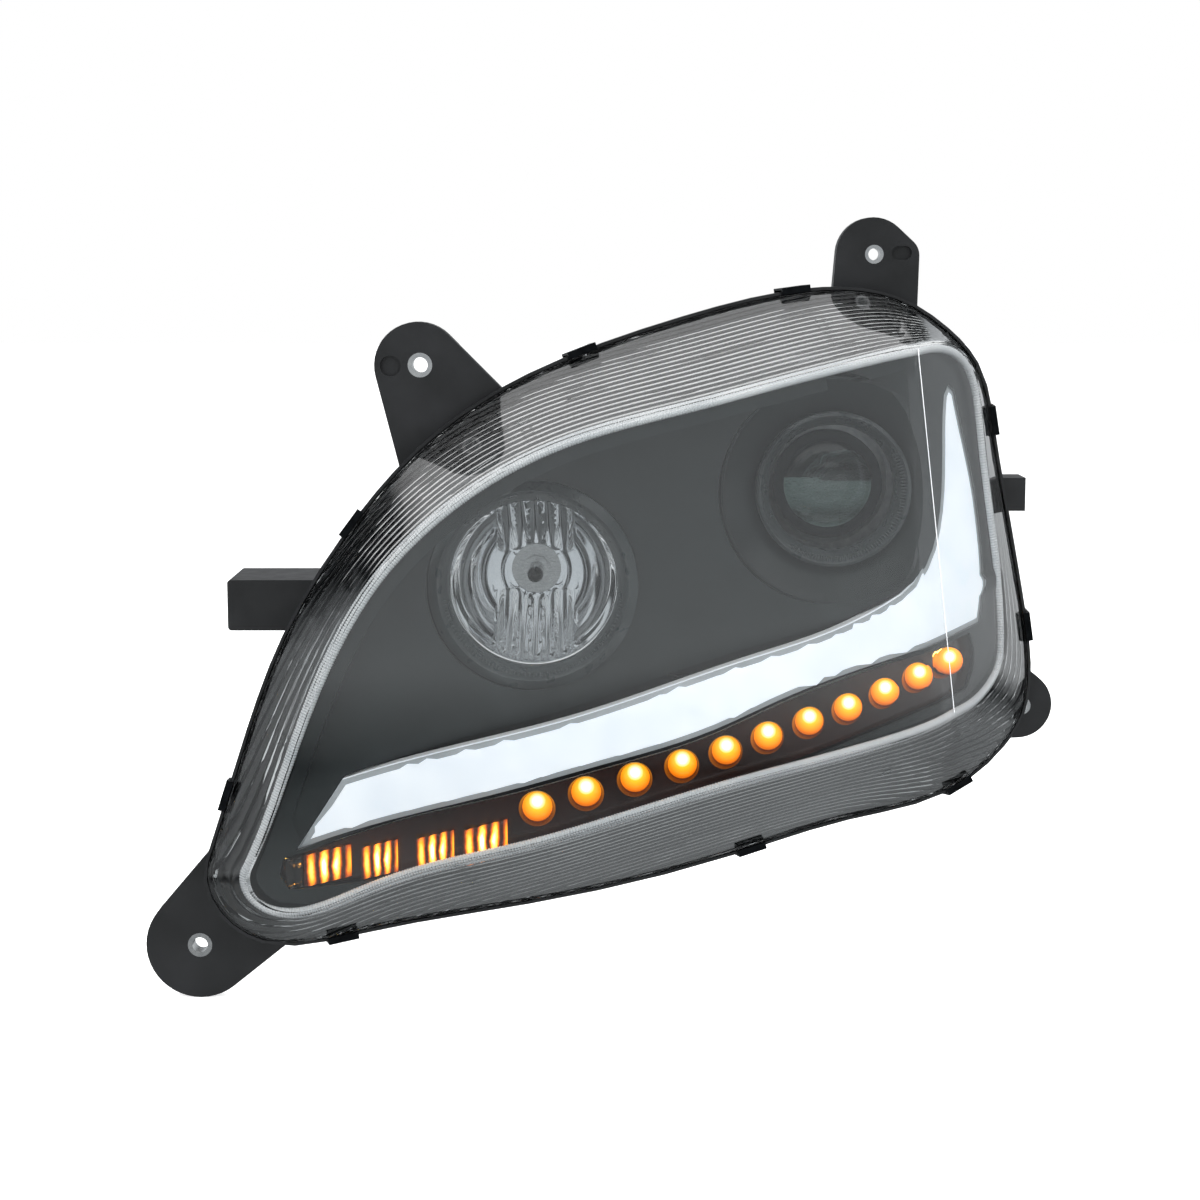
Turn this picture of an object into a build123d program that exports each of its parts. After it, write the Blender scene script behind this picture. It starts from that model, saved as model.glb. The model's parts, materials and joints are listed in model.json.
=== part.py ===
from build123d import *
from math import cos, hypot, radians, sin, sqrt
import os

os.makedirs("parts", exist_ok=True)

# Left-hand truck headlamp. Millimetres, +X towards the outer side of the truck, +Z up,
# the lamp shines along -Y. The origin is the lower inner bolt hole, at the face of its tab.

# Lens: the rim lies in one plane that sweeps back, and the window is a curved front with a
# flatter side facet beyond a crease.
rimFrontY = -32.0
rimSlope = 0.30
frontY = -77.0
innerSpan = 246.0
innerRadius = 1400.0
sweepRadius = 420.0
crownRadius = 1500.0
crownZ = 229.0
creaseTop = (484.0, 405.0)
creaseBottom = (515.0, 157.0)
facetAngle = 50.0
lensWall = 3.0

# Outline of the rim and of the window edge, seen from the front. Points with the same number
# lie on one line of the flank between them.
rimOutline = [
    (10, 66), (38, 154), (62, 216), (102, 282), (136, 324), (180, 362), (247, 397), (330, 425),
    (402, 442), (442, 445), (483, 438), (520, 416), (543, 391), (557, 341), (569, 281),
    (580, 226), (588, 172), (584, 135), (569, 111), (527, 80), (452, 64), (367, 44),
    (223, 20), (109, 8), (46, 7), (18, 29),
]
windowOutline = [
    (41, 66), (74, 155), (98, 213), (132, 267), (160, 296), (200, 326), (262, 355), (335, 374),
    (400, 390), (436, 398), (473, 406), (511, 408), (528, 393), (538, 350), (546, 294),
    (552, 256), (556, 210), (554, 184), (543, 167), (508, 151), (438, 136), (358, 121),
    (225, 83), (122, 52), (60, 36), (43, 49),
]


# Daytime light blade, from its lower tip round by the outer end.
bladeLower = [(74, 79), (138, 101), (213, 121), (273, 138), (346, 159), (391, 177), (453, 195),
              (506, 206), (536, 213)]
bladeOuter = [(536, 213), (539, 242), (536, 276), (530, 311), (521, 346), (514, 374)]
bladeTip = [(514, 374), (510, 379), (506, 372)]
bladeInner = [(506, 372), (505, 325), (502, 285), (495, 263), (480, 245), (461, 234), (426, 220),
              (370, 205), (305, 185), (248, 167), (183, 150), (105, 127)]
bladeDepth = 10.0
bladeThick = 6.0
lightBoxDepth = 30.0

# Turn signal strip below the blade.
stripTop = [(65, 72.5), (76, 76), (138, 98), (213, 117), (273, 134), (346, 155), (391, 173),
            (453, 191), (506, 202), (528, 207)]
stripEnd = [(528, 207), (532, 188), (526, 169)]
stripBottom = [(526, 169), (465, 153), (357, 121), (237, 86.5), (108, 57), (68, 51)]
stripStart = [(68, 51), (62, 61), (65, 72.5)]
stripDepth = 15.0
stripBoardDepth = 42.0
cupCentres = [(232, 108), (264, 118), (296, 127), (327, 135), (356, 143), (384, 151), (412, 159),
              (439, 166), (465, 174), (489, 182), (512, 189)]
cupRadiusFirst = 12.0
cupRadiusLast = 10.2
cupSeat = 9.0
cupDeep = 25.0
cellEdges = [(64, 77), (78, 109), (116, 141), (152, 178), (183, 213)]

# Lamp axes.
highX, highZ = 229.0, 251.0
lowX, lowZ = 430.0, 310.0
highOpening = 55.5
highRing = 69.0
highRingY = -30.0
lowRing = 52.0
lowOpening = 43.0
lowRingY = 18.0
dishRadius = 75.0
projectorLensRadius = 31.75

# Bezel: a plane that the window surface limits from the front.
bezelSlope = 0.155
bezelY = -27.0
bezelDepth = 9.0
bezelWall = 2.5

# Housing.
housingDepth = 125.0
housingWall = 3.0
channelDepth = 12.0
channelWidth = 12.0
tabThick = 6.0
sleeveLong = 14.0

# Aimed carrier: it turns on one ball, one adjuster stands above it and one beside it.
pivot = (330.0, 125.0, 185.0)
verticalArm = 170.0
horizontalArm = 150.0
ballRadius = 6.0
carrierY = 100.0
carrierThick = 4.0


def rim_y(x):
    return rimFrontY + rimSlope * (x - 8)


def plan_depth(x, depth):
    radius = (innerRadius if x < innerSpan else sweepRadius) - depth
    return radius - sqrt(max(radius ** 2 - (x - innerSpan) ** 2, 1))


def crown_y(x, z, depth=0.0):
    """Front surface of the window without its side facet, or a surface at a depth behind it."""
    reach = crownRadius - depth - plan_depth(x, depth)
    return frontY + crownRadius - sqrt(reach ** 2 - (z - crownZ) ** 2)


def facet_frame():
    """A point, a direction back along the facet and a direction down the crease."""
    top = Vector(creaseTop[0], crown_y(*creaseTop), creaseTop[1])
    bottom = Vector(creaseBottom[0], crown_y(*creaseBottom), creaseBottom[1])
    back = Vector(cos(radians(facetAngle)), sin(radians(facetAngle)), 0)
    return top, back, (bottom - top).normalized()


def facet_y(x, z, depth=0.0):
    top, back, down = facet_frame()
    normal = back.cross(down)
    if normal.Y < 0:
        normal = normal * -1
    top = top + normal * depth
    return top.Y - (normal.X * (x - top.X) + normal.Z * (z - top.Z)) / normal.Y


def window_y(x, z, depth=0.0):
    return max(crown_y(x, z, depth), facet_y(x, z, depth))


def inset(points, distance):
    """Moves every side of a closed outline inwards by the same distance."""
    pairs = list(zip(points, points[1:] + points[:1]))
    area = sum(p[0] * q[1] - q[0] * p[1] for p, q in pairs)
    turn = 1 if area > 0 else -1
    normals = []
    for (px, pz), (qx, qz) in pairs:
        length = hypot(qx - px, qz - pz)
        normals.append((-(qz - pz) / length * turn, (qx - px) / length * turn))
    moved = []
    for i, (x, z) in enumerate(points):
        ax, az = normals[i - 1]
        bx, bz = normals[i]
        share = distance / (1 + ax * bx + az * bz)
        moved.append((x + (ax + bx) * share, z + (az + bz) * share))
    return moved


def closed_wire(points):
    return Wire([Spline(points, periodic=True)])


def on_rim(points, back=0.0):
    """Points of an outline laid on the rim plane or a parallel plane behind it."""
    return [(x, rim_y(x) + back, z) for x, z in points]


def traced(points, steps=3):
    """More points of the smooth curve through an outline, closest together where it bends."""
    curve = Spline([(x, 0, z) for x, z in points], periodic=True)
    marks = [curve.param_at_point((x, 0, z)) for x, z in points]
    marks = [0.0] + marks[1:] + [1.0]
    dense = []
    for a, b in zip(marks, marks[1:]):
        for k in range(steps):
            p = curve.position_at(a + (b - a) * k / steps)
            dense.append((p.X, p.Z))
    return dense


def smooth_inset(points, distance, steps=3):
    """An outline moved inwards along the normals of its smooth curve."""
    return inset(traced(points, steps), distance)[::steps]


def frustum(front, rear):
    """A flat-sided solid between two outlines of equal count that lie in parallel planes."""
    faces = [Face(Wire.make_polygon(front)), Face(Wire.make_polygon(rear))]
    for i in range(len(front)):
        corners = [front[i - 1], front[i], rear[i], rear[i - 1]]
        faces.append(Face(Wire.make_polygon(corners)))
    return Solid(Shell(faces))


def crown_body(depth):
    """Everything behind the window surface moved back by depth."""
    a = innerRadius - depth
    b = sweepRadius - depth
    left = Vector(innerSpan - a * sin(radians(20)), frontY + depth + a * (1 - cos(radians(20))))
    middle = Vector(innerSpan, frontY + depth)
    right = Vector(innerSpan + b * sin(radians(70)), frontY + depth + b * (1 - cos(radians(70))))
    front = RadiusArc(left, middle, -a) + RadiusArc(middle, right, -b)
    rest = Polyline(right, (right.X, 700), (left.X, 700), left)
    profile = make_face(front + rest)
    if profile.area < 100000:
        raise ValueError("window profile is inside out")
    axis = Axis((0, frontY + crownRadius, crownZ), (1, 0, 0))
    profile = profile.moved(Location((0, 0, crownZ)))
    body = revolve(profile.rotate(axis, -15), axis, 30)
    top, back, down = facet_frame()
    normal = back.cross(down)
    if normal.Y < 0:
        normal = normal * -1
    start = top + normal * depth
    plane = Plane(origin=start, x_dir=back, z_dir=normal)
    behind = extrude(plane * Rectangle(2400, 2400), 2400)
    return body & behind


bodies = {}


def behind_window(depth):
    if depth not in bodies:
        bodies[depth] = crown_body(depth)
    return bodies[depth]


def run_points(*runs, step=13.0):
    """One closed list of points along smooth runs that share their ends."""
    points = []
    for run in runs:
        if len(run) == 2:
            points.append(run[0])
            continue
        curve = Spline([(x, 0, z) for x, z in run])
        count = max(2, round(curve.length / step))
        for k in range(count):
            p = curve.position_at(k / count)
            points.append((p.X, p.Z))
    return points


def prism(points, y0=-120.0, y1=300.0):
    """A flat-sided block along Y with the outline of the points."""
    face = Face(Wire.make_polygon([(x, y0, z) for x, z in points]))
    return extrude(face, y1 - y0, dir=(0, 1, 0))


def layer(points, near, far):
    """The part of a prism between two depths behind the window surface."""
    return (prism(points) & behind_window(near)) - behind_window(far)


def tube(x, z, y0, y1, outer, inner=0.0):
    body = rod(x, z, y0, y1, outer)
    return body - rod(x, z, y0 - 1, y1 + 1, inner) if inner else body


def rod(x, z, y0, y1, radius):
    start = Plane(origin=(x, y0, z), x_dir=(1, 0, 0), z_dir=(0, 1, 0))
    return extrude(start * Circle(radius), y1 - y0)


def turned(x, z, points):
    """A solid of revolution about a line along Y. Points are (radius, y)."""
    profile = make_face(Polyline(*[(x + r, y, z) for r, y in points], close=True))
    return revolve(profile, Axis((x, 0, z), (0, 1, 0)))


def block(x0, x1, y0, y1, z0, z1):
    size = (x1 - x0, y1 - y0, z1 - z0)
    return Pos((x0 + x1) / 2, (y0 + y1) / 2, (z0 + z1) / 2) * Box(*size)


# ---- outer lens, its seal and its clips

denseRim = traced(rimOutline)


def lens_block(wall):
    """The lens as a solid block: flank from rim to window edge, closed well in front."""
    rim = smooth_inset(rimOutline, 3 + wall)
    edge = smooth_inset(windowOutline, wall)
    front = []
    for (rx, rz), (wx, wz) in zip(rim, edge):
        foot = Vector(rx, rim_y(rx), rz)
        top = Vector(wx, window_y(wx, wz) + wall, wz)
        front.append(top + (top - foot).normalized() * 14)
    apex = Vertex(280, -330, 230)
    block_ = Solid.make_loft([closed_wire(on_rim(rim)), closed_wire(front), apex], ruled=True)
    return block_ & behind_window(wall)


def rim_ring(outer, inner, back0, back1):
    """A smooth ring that follows the rim, between two insets and two depths behind its plane."""
    faces = [Face(closed_wire(on_rim(smooth_inset(rimOutline, d), back0))) for d in (outer, inner)]
    solids = [extrude(face, back1 - back0, dir=(0, 1, 0)) for face in faces]
    return solids[0] - solids[1]


def rim_block(distance, back0, back1):
    """The same outline as a flat-sided block, for the housing and its seal."""
    points = inset(denseRim, distance)
    return frustum(on_rim(points, back0), on_rim(points, back1))


def outer_lens():
    shell = lens_block(0) - lens_block(lensWall)
    return shell + rim_ring(3, 6, -0.5, 6)


def lens_seal():
    return rim_block(2.6, 6.2, 8) - rim_block(8.5, 6, 8.2)


clipPlaces = [(271, 404), (409, 443), (108, 290), (22, 113), (93, 8), (381, 47), (532, 83),
              (586, 199), (556, 347)]


def rim_plane_at(x, z):
    """A plane across the rim at its side nearest to (x, z): x outwards, y backwards."""
    def gap(i):
        px, pz = denseRim[i]
        qx, qz = denseRim[i - 1]
        return hypot(x - (px + qx) / 2, z - (pz + qz) / 2)
    i = min(range(len(denseRim)), key=gap)
    a = Vector(*on_rim([denseRim[i - 1]])[0])
    b = Vector(*on_rim([denseRim[i]])[0])
    along = (b - a).normalized()
    outward = along.cross(Vector(0, 1, 0)).normalized()
    middle = (a + b) * 0.5
    if outward.dot(Vector(middle.X - 305, 0, middle.Z - 225)) < 0:
        outward = outward * -1
    if along.cross(outward).Y < 0:
        along = along * -1
    return Plane(origin=middle, x_dir=outward, z_dir=along)


def lens_clips():
    """Black clips that close over the rim of the lens and the housing's flange."""
    clips = []
    for x, z in clipPlaces:
        profile = Polyline((-2.2, -2.4), (2.4, -2.4), (2.4, 14.4), (-2.4, 14.4), (-2.4, 12.9), (1, 12.9),
                           (1, -0.8), (-2.2, -0.8), close=True)
        clips.append(extrude(rim_plane_at(x, z) * make_face(profile), 10.5, both=True))
    return Compound(children=clips)


# ---- rear housing

def tab_face(x, z, radius, roots, extra=()):
    """Outline of a mounting tab: round end, straight sides down to the housing."""
    circles = [Pos(cx, cz) * Circle(r) for cx, cz, r in ((x, z, radius), *extra)]
    edges = [e for c in circles for e in c.edges()]
    edges += [Line(roots[0], roots[1])]
    return make_hull(edges)


tabs = {
    "upper_inner": dict(hole=(151.5, 393), end=(150, 392.5, 29.5), y=35.0, roots=((140, 312), (232, 352)),
                        extra=(), sleeve=(5.25, 8.3)),
    "upper_outer": dict(hole=(467.5, 467.5), end=(466.5, 467.5, 26), y=128.0,
                        roots=((436, 414), (498, 405)), extra=((486, 466.5, 13.5),), sleeve=(4.25, 6.6)),
    "lower_inner": dict(hole=(0, 0), end=(0, 0, 36.7), y=0.0, roots=((30, 92), (86, 22)),
                        extra=(), sleeve=(5.25, 8.3)),
    "lower_outer": dict(hole=(584, 138), end=(581, 139, 25), y=154.0, roots=((548, 196), (528, 112)),
                        extra=(), sleeve=(4.25, 6.6)),
}


def standing(face, y0, thick):
    """Stands an XY face up in the XZ plane at y0, with its thickness towards the back."""
    upright = face.rotate(Axis.X, 90)
    return extrude(upright.moved(Location((0, y0, 0))), thick, dir=(0, 1, 0))


def tab_solid(tab):
    """A tab with its raised edge behind and the boss round its sleeve."""
    x, z, radius = tab["end"]
    face = tab_face(x, z, radius, tab["roots"], tab["extra"])
    plate = standing(face, tab["y"], tabThick)
    edge = standing(face, tab["y"] + tabThick, 8) - standing(offset(face, -3.5), tab["y"], 20)
    hx, hz = tab["hole"]
    boss = rod(hx, hz, tab["y"] + 0.5, tab["y"] + sleeveLong, tab["sleeve"][1] + 3.2)
    return plate + edge + boss


def bucket(wall):
    """The housing's tapered body behind its channel, as a solid block."""
    sides = inset(denseRim, channelWidth - housingWall + wall)
    rear = [(310 + (x - 305) * 0.80, 225 + (z - 225) * 0.80) for x, z in sides]
    return frustum(on_rim(sides, channelDepth), on_rim(rear, housingDepth - wall))


lowCapY = 242.0
highCapY = 176.0
lowNeck, highNeck = 46.0, 40.0
connectorX, connectorZ = 294.0, 118.0
connectorY = 190.0
ventPlaces = [(200, 318), (392, 122)]
driverX, driverZ = 168.0, 140.0
bezelPosts = [(138, 222), (356, 345), (400, 226)]
carrierScrewRing = 51.0


def wall_y(x):
    """Outside of the housing's rear wall."""
    return rim_y(x) + housingDepth


def wall_plane(x, z):
    """A plane on the rear wall, facing backwards, with its y axis downwards."""
    return Plane(origin=(x, wall_y(x), z), x_dir=(1, rimSlope, 0), z_dir=(-rimSlope, 1, 0))


def rear_housing():
    groove = rim_block(2.0, -1, 8) - rim_block(9.2, -2, 9)
    body = rim_block(0, 0, channelDepth) - rim_block(channelWidth, -1, channelDepth + 1)
    body += bucket(0) - bucket(housingWall)
    arm = fillet(block(17, 130, 40, 108, 211, 246).edges().group_by(Axis.X)[0], 3)
    outside = [tab_solid(tab) for tab in tabs.values()]
    outside += [arm - block(20, 131, 43, 105, 214, 243), block(540, 580, 136, 168, 284, 308)]
    outside += [tube(lowX, lowZ, 190, lowCapY, 56, 53), tube(highX, highZ, 120, highCapY, 50, 47)]
    outside += [tube(lowX, lowZ, lowCapY - 3, lowCapY, 55, lowNeck),
                tube(highX, highZ, highCapY - 3, highCapY, 49, highNeck)]
    outside += [block(262, 326, 150, connectorY, 98, 138)]
    outside += [rod(x, z, wall_y(x) - 8, wall_y(x) + 12, 5) for x, z in ventPlaces]
    front_space = rim_block(channelWidth - housingWall / 2, -90, channelDepth + 0.1)
    rear_space = bucket(housingWall / 2)
    for solid in outside:
        body += solid - rear_space - front_space
    body -= groove
    body -= rod(lowX, lowZ, 150, lowCapY - 4, 53)
    body -= rod(highX, highZ, 100, highCapY - 4, 47)
    body -= block(connectorX - 24.2, connectorX + 24.2, 140, 200, connectorZ - 14.2, connectorZ + 14.2)
    body += tube(pivot[0], pivot[2], 152, wall_y(pivot[0]) - 1, 10, 4)
    for x, z in adjusters():
        body += rod(x, z, 165, wall_y(x) + 8, 13)
        body -= rod(x, z, 100, 300, 8.5)
    for x, z in ventPlaces:
        body -= rod(x, z, 100, 300, 3)
    for tab in tabs.values():
        x, z = tab["hole"]
        body -= rod(x, z, tab["y"] - 1, tab["y"] + 30, tab["sleeve"][1])
    for hole in bezel_screw_rods(-8, 8, 2.2) + driver_screw_rods(2.05):
        body -= hole
    body -= rod(131.5, 392.5, 30, 38, 7)
    body -= standing(Pos(487, 468.5) * SlotOverall(14, 9.5), 127, 4)
    return max(body.solids(), key=lambda s: s.volume)


def adjusters():
    return ((pivot[0], pivot[2] + verticalArm), (pivot[0] + horizontalArm, pivot[2]))


def bezel_screw_rods(y0, y1, radius):
    """Rods at the bezel's posts, from y0 in front of the rear wall to y1 behind it."""
    return [rod(x, z, wall_y(x) + y0, wall_y(x) + y1, radius) for x, z in bezelPosts]


def carrier_screw_places():
    angles = [radians(30 + 120 * k) for k in range(3)]
    return [(lowX + carrierScrewRing * cos(a), lowZ + carrierScrewRing * sin(a)) for a in angles]


def mounting_sleeves():
    return Compound(children=[tube(*tab["hole"], tab["y"], tab["y"] + sleeveLong, tab["sleeve"][1],
                                   tab["sleeve"][0]) for tab in tabs.values()])


# ---- bezel and its rings

def blade(distance):
    """The blade's outline, moved inwards by a distance."""
    tail = [bladeInner[-1], bladeLower[0]]
    return inset(run_points(bladeLower, bladeOuter, bladeTip, bladeInner, tail), distance)


def strip(distance):
    return inset(run_points(stripTop, stripEnd, stripBottom, stripStart), distance)


def bezel_plane_y(x):
    return bezelY + bezelSlope * (x - highX)


def behind_bezel(depth):
    """Everything behind the bezel's main plane and behind the window surface."""
    start = Vector(highX, bezelY + depth, highZ)
    plane = Plane(origin=start, x_dir=(1, bezelSlope, 0), z_dir=(-bezelSlope, 1, 0))
    return behind_window(bezelDepth + depth) & extrude(plane * Rectangle(2400, 2400), 1200)


def bezel():
    edge = traced(windowOutline)
    outer, middle, inner = [prism(inset(edge, d)) for d in (6, 13, 15.5)]
    skin = (behind_bezel(0) - behind_bezel(bezelWall)) & middle
    band = (outer - inner) & (behind_window(bezelDepth) - behind_window(bezelDepth + bezelWall))
    wall = (middle - inner) & (behind_window(bezelDepth) - behind_bezel(bezelWall))
    body = skin + band + wall
    y = bezel_plane_y(lowX)
    dish = turned(lowX, lowZ, [(0, y - 25), (dishRadius + 8, y - 25), (dishRadius, y),
                               (lowRing + 0.4, lowRingY + 8), (0, lowRingY + 8)])
    lined = turned(lowX, lowZ, [(0, y), (dishRadius + 1.5, y), (dishRadius + 1.5, y + 4),
                                (lowRing + 3, lowRingY + 10.5), (0, lowRingY + 10.5)])
    lined &= behind_window(bezelDepth + 0.5)
    body += lined - prism(blade(-6))
    body -= dish
    body -= rod(lowX, lowZ, 0, 60, lowRing + 0.4)
    body -= rod(highX, highZ, -60, 30, highRing + 0.4)
    body -= prism(blade(-0.4), -90, 200)
    body -= prism(strip(-0.4), -90, 200)
    body = max(body.solids(), key=lambda s: s.volume)
    for x, z in bezelPosts:
        body += rod(x, z, bezel_plane_y(x) + 1, wall_y(x), 4.5) - behind_wall()
    for hole in bezel_screw_rods(-16, 8, 1.75):
        body -= hole
    return body


def behind_wall():
    """Everything behind the inner face of the rear wall, less a small gap."""
    start = wall_plane(highX, highZ)
    return extrude(start * Pos(0, 0, -housingWall - 0.3) * Rectangle(1600, 1600), 200)


def high_beam_ring():
    y = highRingY
    skirt = tube(highX, highZ, y + 11, y + 19, highOpening + 1.6, highOpening)
    return skirt + turned(highX, highZ, [(highOpening, y + 11), (61.5, y + 1), (63, y), (highRing, y + 3),
                                 (highRing, y + 10), (highRing - 2, y + 10), (highRing - 2, y + 5.5),
                                 (63.5, y + 3), (62.5, y + 3.5), (highOpening + 2, y + 12.5)])


def low_beam_ring():
    y = lowRingY
    return turned(lowX, lowZ, [(lowOpening, y + 14), (48.5, y + 1), (50, y), (lowRing, y + 1),
                               (lowRing, y + 16), (50, y + 16), (50, y + 4), (lowOpening + 2, y + 15),
                               (lowOpening + 2, y + 30), (lowOpening, y + 30)])


# ---- daytime light

def blade_light():
    return layer(blade(0), bladeDepth, bladeDepth + bladeThick)


def blade_light_box():
    """White box behind the blade, open to the front."""
    outside = layer(blade(0.6), bladeDepth + bladeThick + 0.3, lightBoxDepth)
    return outside - layer(blade(2.2), bladeDepth + bladeThick - 1, lightBoxDepth - 1.6)


bladeLedPlaces = [(101, 105), (130, 113), (170, 126), (210, 137), (250, 149), (290, 160), (330, 172),
                  (370, 186), (410, 201), (450, 216), (485, 228), (512, 246), (519, 280), (518, 315)]


def led_chips(places, size, depth):
    """Square LED packages whose backs follow a board surface."""
    chips = []
    for x, z in places:
        y = window_y(x, z, depth)
        chip = block(x - size / 2, x + size / 2, y - 1.8, y + 12, z - size / 2, z + size / 2)
        chips.append(chip - behind_window(depth))
    return Compound(children=[c.solids()[0] for c in chips])


def blade_board():
    return layer(blade(2.6), lightBoxDepth - 3.4, lightBoxDepth - 1.8)


def blade_leds():
    return led_chips(bladeLedPlaces, 5, lightBoxDepth - 3.4)


# ---- turn signal

def cup_cone(i, grow):
    """One LED cup as a solid cone along Y, from in front of the strip to its narrow seat."""
    x, z = cupCentres[i]
    y = window_y(x, z, stripDepth)
    radius = cupRadiusFirst + (cupRadiusLast - cupRadiusFirst) * i / (len(cupCentres) - 1)
    slope = (radius - cupSeat / 2) / cupDeep
    mouth = radius + slope * 14
    return turned(x, z, [(0, y - 14), (mouth + grow, y - 14), (cupSeat / 2 + grow, y + cupDeep),
                         (cupSeat / 2 + grow, y + cupDeep + 18), (0, y + cupDeep + 18)])


def cell_block(i, grow, y0, y1):
    x0, x1 = cellEdges[i]
    xm, z = cell_middle(i)
    y = window_y(xm, z, stripDepth)
    half = 9.5
    return block(x0 + 1 - grow, x1 - 1 + grow, y + y0, y + y1, z - half - grow, z + half + grow)


def turn_reflector():
    """Front plate of the strip with eleven round cups and five square pockets behind it."""
    body = layer(strip(0.3), stripDepth, stripDepth + 2.2)
    room = layer(strip(-2), stripDepth, stripBoardDepth - 0.4)
    for i in range(len(cupCentres)):
        body += cup_cone(i, 1.2) & room
    for i in range(len(cellEdges)):
        body += cell_block(i, 1.2, -2, 23.5) & room
    for i in range(len(cupCentres)):
        body -= cup_cone(i, 0)
    for i in range(len(cellEdges)):
        body -= cell_block(i, 0, -12, 22.3)
        body -= rod(*cell_middle(i), -60, 40, 3.6)
    return max(body.solids(), key=lambda s: s.volume)


def cell_middle(i):
    xm = sum(cellEdges[i]) / 2
    return xm, 0.19 * (xm - 57) + 60.5


def turn_cell_lenses():
    """Five clear panes in front of the square pockets."""
    panes = []
    slab = layer(strip(0.9), stripDepth - 3.4, stripDepth - 0.4)
    for i in range(len(cellEdges)):
        panes.append((cell_block(i, 1.4, -30, 30) & slab).solids()[0])
    return Compound(children=panes)


def turn_board():
    return layer(strip(5), stripBoardDepth, stripBoardDepth + 1.6)


def turn_leds():
    places = cupCentres + [cell_middle(i) for i in range(len(cellEdges))]
    return led_chips(places, 4.4, stripBoardDepth)


# ---- aimed carrier with both lamps

def parabola(depth0, depth1, radius0, radius1, wall=0.0, count=9):
    """Points (radius, y) of a bowl that narrows from radius0 to radius1 towards the back."""
    factor = (depth1 - depth0) / (radius0 ** 2 - radius1 ** 2)
    points = []
    for i in range(count):
        radius = radius0 + (radius1 - radius0) * i / (count - 1)
        points.append((radius + wall, depth1 - factor * (radius ** 2 - radius1 ** 2) + wall * 0.3))
    return points


def bowl(x, z, inner, outer, tail):
    """A revolved bowl: a smooth inside, a smooth outside and a stepped tail between them."""
    runs = [Spline(*[(x + r, y, z) for r, y in inner])]
    joint = [(x + r, y, z) for r, y in [inner[-1], *tail, outer[-1]]]
    runs.append(Polyline(*joint))
    runs.append(Spline(*[(x + r, y, z) for r, y in reversed(outer)]))
    runs.append(Line((x + outer[0][0], outer[0][1], z), (x + inner[0][0], inner[0][1], z)))
    edges = [e for run in runs for e in run.edges()]
    return revolve(Face(Wire(edges)), Axis((x, 0, z), (0, 1, 0)))


def carrier():
    y0, y1 = carrierY, carrierY + carrierThick
    face = make_hull([e for x, z, r in ((highX, highZ, 69), (lowX, lowZ, 62), (pivot[0], pivot[2], 18),
                                        (pivot[0] + horizontalArm - 6, pivot[2] + 4, 17),
                                        (pivot[0], pivot[2] + verticalArm - 2, 17))
                      for e in (Pos(x, z) * Circle(r)).edges()])
    body = standing(face, y0, carrierThick)
    body += standing(face, y0 - 6, 7) - standing(offset(face, -3), y0 - 7, 9)
    body += rod(highX, highZ, 6, y0 + 1, 65)
    body -= rod(highX, highZ, 0, y1 + 1, 61.5)
    body -= rod(lowX, lowZ, y0 - 5, y1 + 5, 46)
    for hole in carrier_screw_rods() + [rod(px, pz, 80, 120, 12) for px, pz in bezelPosts]:
        body -= hole
    x, y, z = pivot
    body += block(x - 13, x + 13, y0 + 1, y + 8, z - 14, z + 14)
    body -= Pos(x, y, z) * Rot(0, 90, 0) * Cylinder(10.05, 20.4)
    body -= block(x - 10.2, x + 10.2, y, y + 12, z - 10.05, z + 10.05)
    body -= Pos(x, y, z) * Rot(0, 90, 0) * Cylinder(3.05, 40)
    for ax, az in adjusters():
        body += tube(ax, az, y1 - 1, y1 + 14, 12.5, 9.5)
    return body


def carrier_screw_rods():
    return [rod(x, z, 90, 115, 1.85) for x, z in carrier_screw_places()]


def pivot_bush():
    """Nylon bush on the ball stud: it turns with the lamps sideways, and they nod on its pins."""
    x, y, z = pivot
    body = Pos(x, y, z) * Rot(0, 90, 0) * Cylinder(9.95, 19.8)
    body += Pos(x, y, z) * Rot(0, 90, 0) * Cylinder(3.0, 26)
    body -= Pos(x, y, z) * Sphere(ballRadius + 0.05)
    return body - rod(x, z, y, y + 12, 5.2)


def ball_stud(x, z, shank, tail):
    y = pivot[1]
    return Pos(x, y, z) * Sphere(ballRadius) + rod(x, z, y, tail, shank)


def pivot_stud():
    return ball_stud(pivot[0], pivot[2], 3.9, 172)


def adjuster_sockets():
    """Two nylon cups, each closed round a ball with room for the swing of its arm."""
    cups = []
    for x, z in adjusters():
        cup = rod(x, z, carrierY + carrierThick, pivot[1] + 4, 9.4)
        cup -= Pos(x, pivot[1], z) * Sphere(ballRadius + 0.6)
        cups.append(cup - rod(x, z, pivot[1], pivot[1] + 10, 5.6))
    return Compound(children=cups)


def adjuster_stud(i):
    x, z = adjusters()[i]
    return ball_stud(x, z, 3.5, wall_y(x) + 2)


def adjuster_knob(i):
    """Threaded sleeve in the housing's post, with a ribbed knob and a hexagon behind."""
    x, z = adjusters()[i]
    y = wall_y(x) + 8
    body = rod(x, z, 170, y + 0.4, 8.42) + rod(x, z, y + 0.4, y + 12, 15)
    for k in range(12):
        angle = radians(30 * k)
        body -= rod(x + 16 * cos(angle), z + 16 * sin(angle), y, y + 13, 2.6)
    hexagon = Plane(origin=(x, y + 11, z), x_dir=(1, 0, 0), z_dir=(0, 1, 0)) * RegularPolygon(6.5, 6)
    body += extrude(hexagon, 9)
    return body - rod(x, z, 160, y + 9, 3.56)


def high_beam_reflector():
    inner = parabola(4, 66, 57, 17)
    outer = parabola(4, 66, 57, 17, wall=2.2)
    body = bowl(highX, highZ, inner, outer, [(17, 74), (20, 74), (20, 67)])
    return body + tube(highX, highZ, 3.9, 5.9, 65, 57.4)


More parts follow.
